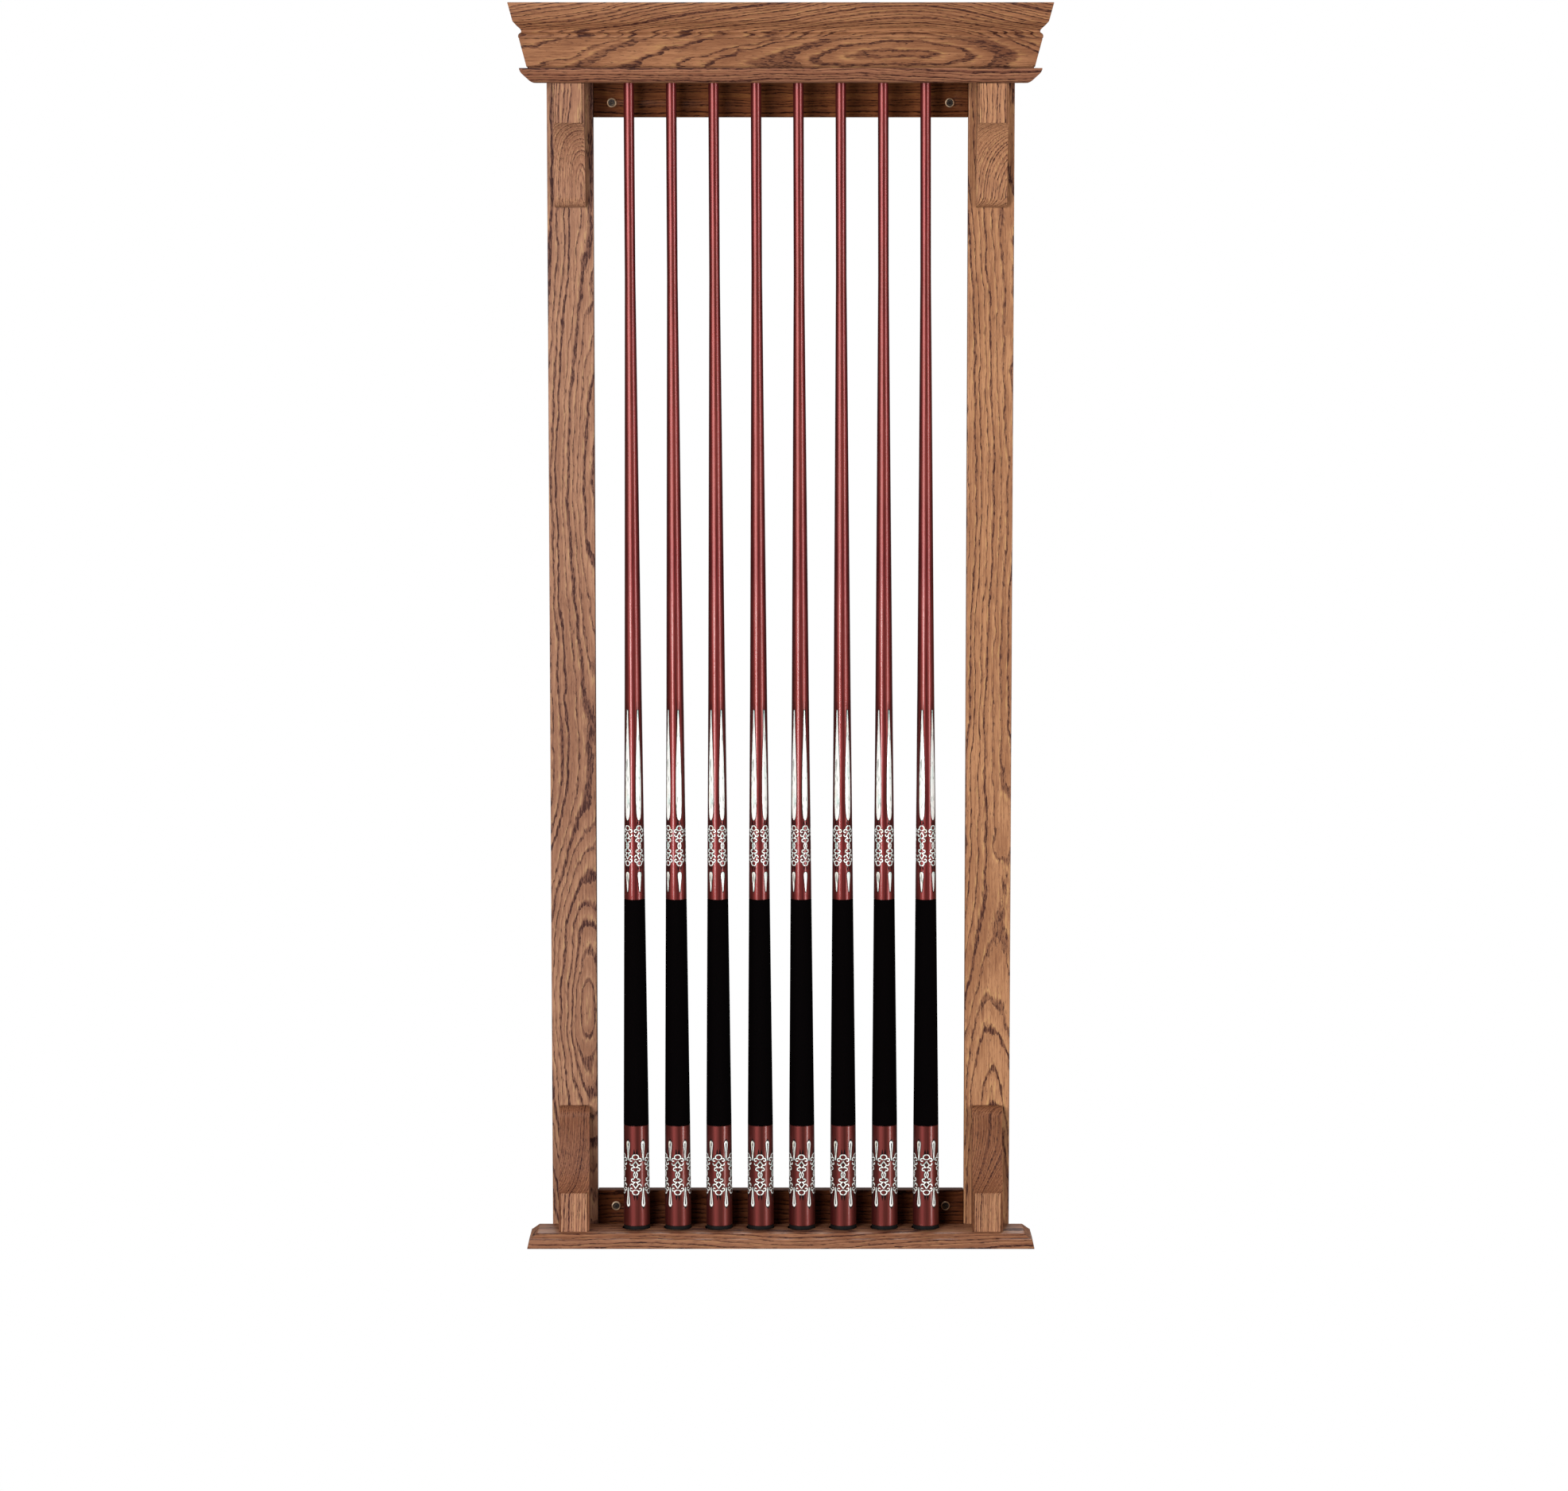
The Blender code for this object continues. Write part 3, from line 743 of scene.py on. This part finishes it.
def pearl():
    """Shell inlay under the lacquer: white with faint green and amber bands and darker clouds."""
    made, n, shader = new_material("pearl_inlay", Roughness=0.25, Coat_Weight=0.8, Coat_Roughness=0.08)
    xyz = n.separate(n.spot())
    band = n.noise(n.cells(xyz, 170, 30), detail=3, roughness=0.6)
    tint = n.blend(n.step(band, 0.30, 0.45), (0.62, 0.76, 0.70), (0.90, 0.90, 0.86))
    tint = n.blend(n.step(band, 0.55, 0.72), tint, (0.80, 0.74, 0.60))
    cloud = n.step(n.noise(n.cells(xyz, 330, 75), detail=2), 0.56, 0.66)
    n.feed(shader, Base_Color=n.blend(n.math("MULTIPLY", cloud, 0.7), tint, (0.20, 0.23, 0.20)))
    return made


# Inlays ----------------------------------------------------------------------------------------

# Inlays are drawn flat, in millimetres, as (side, height) with side measured round the cue.

FOLDS = 5  # the decoration repeats five times round
INLAY_DEPTH = 0.35
POINT = 0.15  # half the width of a blade's two ends
# How far each kind stands off the cue; the black lies just under the white that it outlines
WHITE_LIFT, BLACK_LIFT, FLAME_LIFT, FLAME_TIP_LIFT = 0.06, 0.03, 0.045, 0.085
STROKE_WIDE, STROKE_OUTLINE = 1.3, 2.4

# (height, half width) from the foot up
SLEEVE_SPEAR = [(0, 0.9), (1.0, 2.1), (4, 2.5), (9, 2.0), (15, 1.3), (21, 0.9), (25, 0.35)]
SPEAR_LONG = 25
ARM_BLADE = [(523, 0.6), (526, 2.3), (532, 3.2), (545, 3.7), (575, 3.6), (600, 2.9), (625, 1.9),
             (645, 1.1), (661, 0.6)]
# (height of its middle, width, height) of the scrollwork, and the size that its strokes are drawn at
SLEEVE_PANEL, FOREARM_PANEL = (74.2, 14.8, 52.5), (491.0, 12.2, 51.5)
DRAWN_WIDE, DRAWN_HIGH = 13.6, 50.0


def half_width(outline, height):
    for (low, w_low), (high, w_high) in zip(outline, outline[1:]):
        if low <= height <= high:
            return w_low + (w_high - w_low) * (height - low) / (high - low)
    return 0.0


def blade(bm, column, outline, lift, grow=0.0):
    """A long inlay centred on a column (radians), larger than its outline by grow all round."""
    low, high = outline[0][0] - grow, outline[-1][0] + grow
    steps = max(8, int((high - low) / 2.0))
    rows = []
    for i in range(steps + 1):
        t = (1 - cos(pi * i / steps)) / 2
        h = low + (high - low) * t
        inside = min(max(h, outline[0][0]), outline[-1][0])
        half = half_width(outline, inside) + grow
        if i in (0, steps):
            half = POINT
        rows.append((h, half))
    skin(bm, [[(s * half, h) for s in (-1, -0.5, 0, 0.5, 1)] for h, half in rows], column, lift)


def skin(bm, rows, column, lift):
    """Lays rows of flat points on the cue and closes them into a thin solid."""
    top, under = [], []
    for row in rows:
        top.append([bm.verts.new(on_cue(p, column, lift)) for p in row])
        under.append([bm.verts.new(on_cue(p, column, -INLAY_DEPTH)) for p in row])
    count = len(rows[0])
    for a in range(len(rows) - 1):
        for b in range(count - 1):
            bm.faces.new((top[a][b], top[a][b + 1], top[a + 1][b + 1], top[a + 1][b]))
            bm.faces.new((under[a][b + 1], under[a][b], under[a + 1][b], under[a + 1][b + 1]))
        bm.faces.new((top[a][0], top[a + 1][0], under[a + 1][0], under[a][0]))
        bm.faces.new((top[a + 1][-1], top[a][-1], under[a][-1], under[a + 1][-1]))
    for row, flip in ((0, False), (-1, True)):
        for b in range(count - 1):
            face = (top[row][b + 1], top[row][b], under[row][b], under[row][b + 1])
            bm.faces.new(tuple(reversed(face)) if flip else face)


def on_cue(point, column, lift):
    """The place of a flat point on the cue's surface, or lift millimetres off it."""
    side, height = point
    radius = cue_radius(height * MM)
    angle = column + side * MM / radius
    r = radius + lift * MM
    return (r * cos(angle), r * sin(angle), height * MM)


def ribbon(bm, points, width, column, lift):
    """A stroke of even width along flat points, with tapered ends."""
    rows = []
    for i, (s, h) in enumerate(points):
        before, after = points[max(i - 1, 0)], points[min(i + 1, len(points) - 1)]
        ds, dh = after[0] - before[0], after[1] - before[1]
        size = sqrt(ds * ds + dh * dh) or 1.0
        half = width / 2 * (0.55 if i in (0, len(points) - 1) else 1.0)
        side = (-dh / size * half, ds / size * half)
        rows.append([(s + side[0], h + side[1]), (s - side[0], h - side[1])])
    skin(bm, rows, column, lift)


def bent(points):
    """The same points with one more between each two, off the straight, so that a stroke curves smoothly."""
    held = [points[0]] + points + [points[-1]]
    curve = [points[0]]
    for before, start, end, after in zip(held, held[1:], held[2:], held[3:]):
        curve.append(tuple((9 * (b + c) - a - d) / 16 for a, b, c, d in zip(before, start, end, after)))
        curve.append(end)
    return curve


def spiral(centre, start_radius, end_radius, start, end, steps):
    """Points on a spiral between two angles in degrees."""
    points = []
    for i in range(steps + 1):
        t = i / steps
        a = radians(start + (end - start) * t)
        r = start_radius + (end_radius - start_radius) * t
        points.append((centre[0] + r * cos(a), centre[1] + r * sin(a)))
    return points


def scroll_strokes(wide, high):
    """Strokes of one scrollwork panel about its centre: rings, volutes, lozenges and curls, mirrored."""
    ring = [(3.7 * cos(radians(a)), 21.4 + 3.0 * sin(radians(a))) for a in range(90, -91, -30)]
    quarter = [
        ring,
        [(1.8, 18.7), (3.0, 19.6)] + spiral((5.0, 17.6), 2.5, 0.9, 112, -160, 9),
        bent([(0.2, 16.6), (1.3, 14.4), (3.1, 12.1), (1.9, 10.0), (0.3, 8.4)]),
        bent([(3.1, 12.1), (4.9, 11.4), (6.5, 12.5), (6.6, 14.2)]),
        [(0.3, 8.6), (1.7, 9.0)] + spiral((3.2, 6.3), 2.4, 0.8, 105, -170, 9),
        bent([(2.3, 4.2), (0.8, 3.0), (2.0, 1.4), (2.3, 0.0)]),
    ]
    across, up = wide / DRAWN_WIDE, high / DRAWN_HIGH
    strokes = []
    for mirror in (-1, 1):
        for flip in (-1, 1):
            strokes += [[(mirror * s * across, flip * h * up) for s, h in stroke] for stroke in quarter]
    return strokes + [[(0, -1.9 * up), (0, 1.9 * up)]]


def spear(low, up):
    """A short spear with its foot at height low, pointing up or down."""
    if up:
        return [(low + h, w) for h, w in SLEEVE_SPEAR]
    return [(low + SPEAR_LONG - h, w) for h, w in reversed(SLEEVE_SPEAR)]


def dart(bm, column, side, base, rise, half, lift=FLAME_LIFT):
    """A black flame: wide at its base and drawn out to a point."""
    rows = [(base, half), (base + rise * 0.45, half * 0.7), (base + rise, 0.1)]
    skin(bm, [[(side - w, h), (side + w, h)] for h, w in rows], column, lift)


def outlined_blade(white, black, column, outline, rim):
    blade(white, column, outline, WHITE_LIFT)
    blade(black, column, outline, BLACK_LIFT, rim)


def panel_inlay(white, black, where, middle, wide, high):
    """Scrollwork with a lozenge and a pair of flames at each end."""
    for k, stroke in enumerate(scroll_strokes(wide, high)):
        drawn = [(s, h + middle) for s, h in stroke]
        # each stroke a little higher than the last, so that no two lie in one plane where they cross
        ribbon(white, drawn, STROKE_WIDE, where, 0.07 + 0.0012 * k)
        ribbon(black, drawn, STROKE_OUTLINE, where, 0.032 + 0.0008 * k)
    for way in (-1, 1):
        lozenge = [(middle + way * h, w) for h, w in ((9.4, 0.2), (12.1, 1.9), (15.4, 0.2))]
        skin(black, [[(-w, h), (w, h)] for h, w in lozenge], where, FLAME_LIFT)
        for side in (-1.7, 1.7):
            dart(black, where, side, middle + way * high * 0.47, way * 8.5, 1.5)


def sleeve_inlay(white, black, fold):
    """One of the five repeats on the sleeve. A panel faces -Y on a cue that isn't turned."""
    panel = 2 * pi * fold / FOLDS - pi / 2
    column = panel + pi / FOLDS
    for low, up in ((33, True), (92, False)):
        outlined_blade(white, black, column, spear(low, up), 0.9)
        blunt, way = (low, -1) if up else (low + SPEAR_LONG, 1)
        dart(black, column, 0, blunt, way * 3.0, 1.6)
        for rise in (-15, 1.5):
            dart(black, column, 0, blunt - way * 4, way * rise, 0.75, FLAME_TIP_LIFT)
    panel_inlay(white, black, panel, *SLEEVE_PANEL)


def forearm_inlay(white, black, fold):
    """One of the five repeats on the forearm: small spear, scrollwork and long blade in one column."""
    column = 2 * pi * (fold + 0.5) / FOLDS - pi / 2
    for side in (-1.5, 1.5):
        dart(black, column, side, 636, 36, 0.8)
    for outline in (spear(433, False), ARM_BLADE):
        outlined_blade(white, black, column, outline, 0.8)
    panel_inlay(white, black, column, *FOREARM_PANEL)


def inlay_meshes():
    """White and black inlay of the sleeve and of the forearm, drawn on a cue's surface."""
    made = []
    for part, draw in (("sleeve", sleeve_inlay), ("forearm", forearm_inlay)):
        pair = bmesh.new(), bmesh.new()
        for fold in range(FOLDS):
            draw(*pair, fold)
        made += [mesh_from(f"{part}_{colour}", bm) for colour, bm in zip(("pearl", "ebony"), pair)]
    return made


# Whole cues ------------------------------------------------------------------------------------

# Degrees that each cue's sleeve and forearm are turned about its own axis
SLEEVE_TURNS = (-3, 0, -2, -2, -2, -1, -5, 1)
FOREARM_TURNS = (-4, -14, -5, 3, -9, 0, -2, 10)


# (height, radius) in millimetres of the bumper, dished underneath
BUMPER = [(1.4, 3.0), (1.1, 4.2), (0.25, 5.0), (0.0, 6.2), (0.0, 13.7), (0.25, 14.5), (0.9, 15.2),
          (1.9, 15.6), (3.2, 16.05), (5.0, 16.15), (7.6, 16.2), (8.05, 16.1), (8.2, 15.8)]
TURNED_SIDES = 64
WAIST = 1.1 * MM  # how much thinner the stick is inside its wrap
NICK = 0.3 * MM  # the groove at each end of the wrap
WRAP_THICK = 0.8 * MM
WRAP_EASE = 0.35 * MM
DOME_LOW = LEATHER_LOW + 2.6 * MM
DOME_HIGH = 4.9 * MM


def cue_parts():
    """Name, mesh, finish, slot and replaced node of each piece of a cue, shared by all the cues."""
    def off(height, inward=0.0):
        return height, cue_radius(height) - inward

    body = [(BUMPER_HIGH + GAP, 15.9 * MM), (BUMPER_HIGH + 2 * GAP, cue_radius(BUMPER_HIGH))]
    body += [off(h * MM) for h in (40, 70, 100)]
    body += [(WRAP_LOW - NICK, cue_radius(WRAP_LOW)), off(WRAP_LOW, NICK), off(WRAP_LOW, WAIST)]
    body += [off(WRAP_HIGH, WAIST), off(WRAP_HIGH, NICK), (WRAP_HIGH + NICK, cue_radius(WRAP_HIGH))]
    body += [off(h * MM) for h in (500, 560, 620, 683, 860, 1040, 1198, 1320)]
    body += [off(FERRULE_LOW)]
    low, high = WRAP_LOW + GAP, WRAP_HIGH - GAP
    wrap = [off(low, WRAP_THICK), off(high, WRAP_THICK), off(high, WRAP_EASE)]
    wrap += [(high - WRAP_EASE, cue_radius(high)), (low + WRAP_EASE, cue_radius(low)), off(low, WRAP_EASE)]
    ferrule = [(FERRULE_LOW + GAP, 6.3 * MM), (FERRULE_LOW + 2 * GAP, FERRULE_R),
               (LEATHER_LOW - 0.1 * MM, 6.45 * MM)]
    leather = [(LEATHER_LOW, 6.45 * MM), (DOME_LOW, FERRULE_R)]
    leather += [(DOME_LOW + DOME_HIGH * sin(radians(a)), FERRULE_R * cos(radians(a)))
                for a in (12, 26, 40, 54, 68, 80)]
    rows = (("stick", turned, body, lacquer, "maroon_lacquer", "stick"),
            ("wrap", turned_ring, wrap, linen, "linen_wrap", "wrap"),
            ("bumper", turned, in_mm(BUMPER), rubber, "rubber", "bumper"),
            ("ferrule", turned, ferrule, ivory, "ferrule", "tip"),
            ("leather_tip", turned, leather, tip_leather, "ferrule", None))
    parts = [(name, mesh_from("cue_" + name, shape(profile, TURNED_SIDES)), finish(), slot, node)
             for name, shape, profile, finish, slot, node in rows]
    finishes = {"pearl": pearl(), "ebony": ebony()}
    for mesh in inlay_meshes():
        parts.append((mesh.name, mesh, finishes[mesh.name.split("_")[1]], "maroon_lacquer", None))
    return parts


def make_cues():
    parts = cue_parts()
    lean = {joint["child"]: Vector(joint["axis"]) for joint in frame["joints"]}
    for cue, sleeve_turn, forearm_turn in zip(CUES, SLEEVE_TURNS, FOREARM_TURNS):
        low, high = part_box(cue + "_bumper")
        foot = Vector(((low.x + high.x) / 2, (low.y + high.y) / 2, low.z))
        tilt = Vector((0, 0, 1)).rotation_difference(lean[cue])
        stand = Matrix.Translation(foot) @ tilt.to_matrix().to_4x4()
        for name, mesh, finish, slot, node in parts:
            piece = show(f"{cue}_{name}", mesh, finish, cue, [f"{cue}_{node}"] if node else ())
            turn = forearm_turn if name.startswith("forearm") else sleeve_turn
            piece.matrix_basis = stand @ Matrix.Rotation(radians(turn), 4, "Z")


def make_liners():
    """A black felt cup in each recess of the shelf."""
    finish = felt()
    floor = recess_floor()
    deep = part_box("base_shelf")[1].z - floor
    rim, outer = deep - 0.35 * MM, 17.5 * MM
    profile = in_mm([(0.02, 0.5), (0.22, 0.5), (0.24, 16.7), (0.6, 17.15)])
    profile += [(rim, 17.2 * MM), (deep - 0.25 * MM, 17.35 * MM), (rim, outer), (0.02 * MM, outer)]
    for cue, (x, y, _) in zip(CUES, cue_holes("base_shelf")):
        bm = turned_ring(profile, TURNED_SIDES)
        bm.transform(Matrix.Translation((x, y, floor)))
        place(f"felt_liner_{cue[4:]}", bm, finish, "rack", "rubber")


# Stage -----------------------------------------------------------------------------------------

FLOOR_Z = -2.45
FLOOR_R = 6
SURROUND_R = 45
FADE = (0.5, 2.4)  # the floor goes over into the surround between these distances from the middle
# name: azimuth, elevation, distance, size, watts. Azimuth 0 is in front of the rack, positive to its right.
LIGHTS = {"key_left": (-34, 13, 3.5, (2.3, 2.4), 116), "fill_right": (52, 2, 3.5, (0.9, 3.2), 90),
          "glint_left": (-31, -8.6, 3.5, (0.62, 0.54), 30), "back_wash": (178, 40, 3.6, (2.4, 2.0), 130)}
WORLD_STRENGTH = 0.10


def stage_piece(name, bm, finish, unseen_by):
    """unseen_by names the kinds of rays that pass through the piece."""
    mesh = mesh_from(name, bm, outward=False)
    mesh.materials.append(finish)
    made = link(name, mesh)
    for ray in unseen_by:
        setattr(made, "visible_" + ray, False)
    return made


def white_glow(n):
    return n.feed(n.add("ShaderNodeEmission"), Color=(1, 1, 1, 1), Strength=1.0).outputs[0]


def make_stage():
    """A pale floor that fades into a plain white surround. The surround shows but gives no light."""
    white = bpy.data.materials.new("white_surround")
    white.use_nodes = True
    n = Nodes(white.node_tree)
    n.tree.nodes.clear()
    n.feed(n.add("ShaderNodeOutputMaterial"), Surface=white_glow(n))
    bm = bmesh.new()
    bmesh.ops.create_uvsphere(bm, u_segments=48, v_segments=24, radius=SURROUND_R)
    stage_piece("surround", bm, white, ("diffuse", "glossy", "transmission", "shadow", "volume_scatter"))

    made, n, shader = new_material("pale_floor", Roughness=0.9)
    x, y, _ = n.separate(n.spot())
    away = n.math("SQRT", n.math("ADD", n.math("MULTIPLY", x, x), n.math("MULTIPLY", y, y)))
    speck = n.noise(n.combine(x, y, 0.0), 9, 3)
    n.feed(shader, Base_Color=n.blend(speck, (0.90, 0.90, 0.90), (0.93, 0.93, 0.925)))
    far = n.remap(n.step(away, *FADE), 0, 1, 0.45, 1.0)
    fade = n.feed(n.add("ShaderNodeMixShader"), i0=far, i1=shader.outputs[0], i2=white_glow(n))
    n.feed(n.tree.nodes["Material Output"], Surface=fade.outputs[0])
    bm = bmesh.new()
    bmesh.ops.create_circle(bm, cap_ends=True, segments=96, radius=FLOOR_R)
    stage_piece("floor", bm, made, ("diffuse", "glossy")).location.z = FLOOR_Z


def aim(thing, target):
    thing.rotation_mode = "QUATERNION"
    thing.rotation_quaternion = (Vector(target) - thing.location).to_track_quat("-Z", "Y")


def softbox(name, azimuth, elevation, distance, size, power, target):
    light = bpy.data.lights.new(name, "AREA")
    light.shape = "RECTANGLE"
    light.size, light.size_y = size
    light.energy = power
    lamp = link(name, light)
    a, e = radians(azimuth), radians(elevation)
    lamp.location = Vector(target) + distance * Vector((sin(a) * cos(e), -cos(a) * cos(e), sin(e)))
    aim(lamp, target)


def make_lights(centre):
    for name, settings in LIGHTS.items():
        softbox(name, *settings, centre)
    world = bpy.data.worlds.new("studio")
    world.use_nodes = True
    n = Nodes(world.node_tree)
    n.feed(n.tree.nodes["Background"], Color=(1.0, 0.99, 0.98, 1.0), Strength=WORLD_STRENGTH)
    bpy.context.scene.world = world


# The camera is level with the upper rail and tilted down by about 7 degrees, so that the rack fills the
# upper five sixths of the frame. The places are from the rack's middle and its posts' front, in metres.
CAMERA_AWAY = 6.2
CAMERA_ASIDE = 0.004
CAMERA_ABOVE = 0.66
CAMERA_LENS = 114.9
CAMERA_SHIFT = -0.03
SENSOR_WIDE = 36
AIM_BELOW = 0.0864


def make_camera(centre):
    data = bpy.data.cameras.new("camera")
    data.lens = CAMERA_LENS
    data.sensor_width = SENSOR_WIDE
    data.shift_y = CAMERA_SHIFT
    camera = link("camera", data)
    camera.location = (centre.x + CAMERA_ASIDE, FRAME_FRONT - CAMERA_AWAY, centre.z + CAMERA_ABOVE)
    aim(camera, (centre.x + CAMERA_ASIDE, FRAME_FRONT, centre.z - AIM_BELOW))
    bpy.context.scene.camera = camera


def main():
    centre = (CAD_BOX[0] + CAD_BOX[1]) / 2
    make_frame()
    make_shelf()
    make_tip_board()
    make_crown()
    make_corbels()
    make_hardware()
    make_cues()
    make_liners()
    make_stage()
    make_lights(centre)
    make_camera(centre)
    bpy.context.scene.view_settings.view_transform = "Standard"
    bpy.context.view_layer.update()


main()
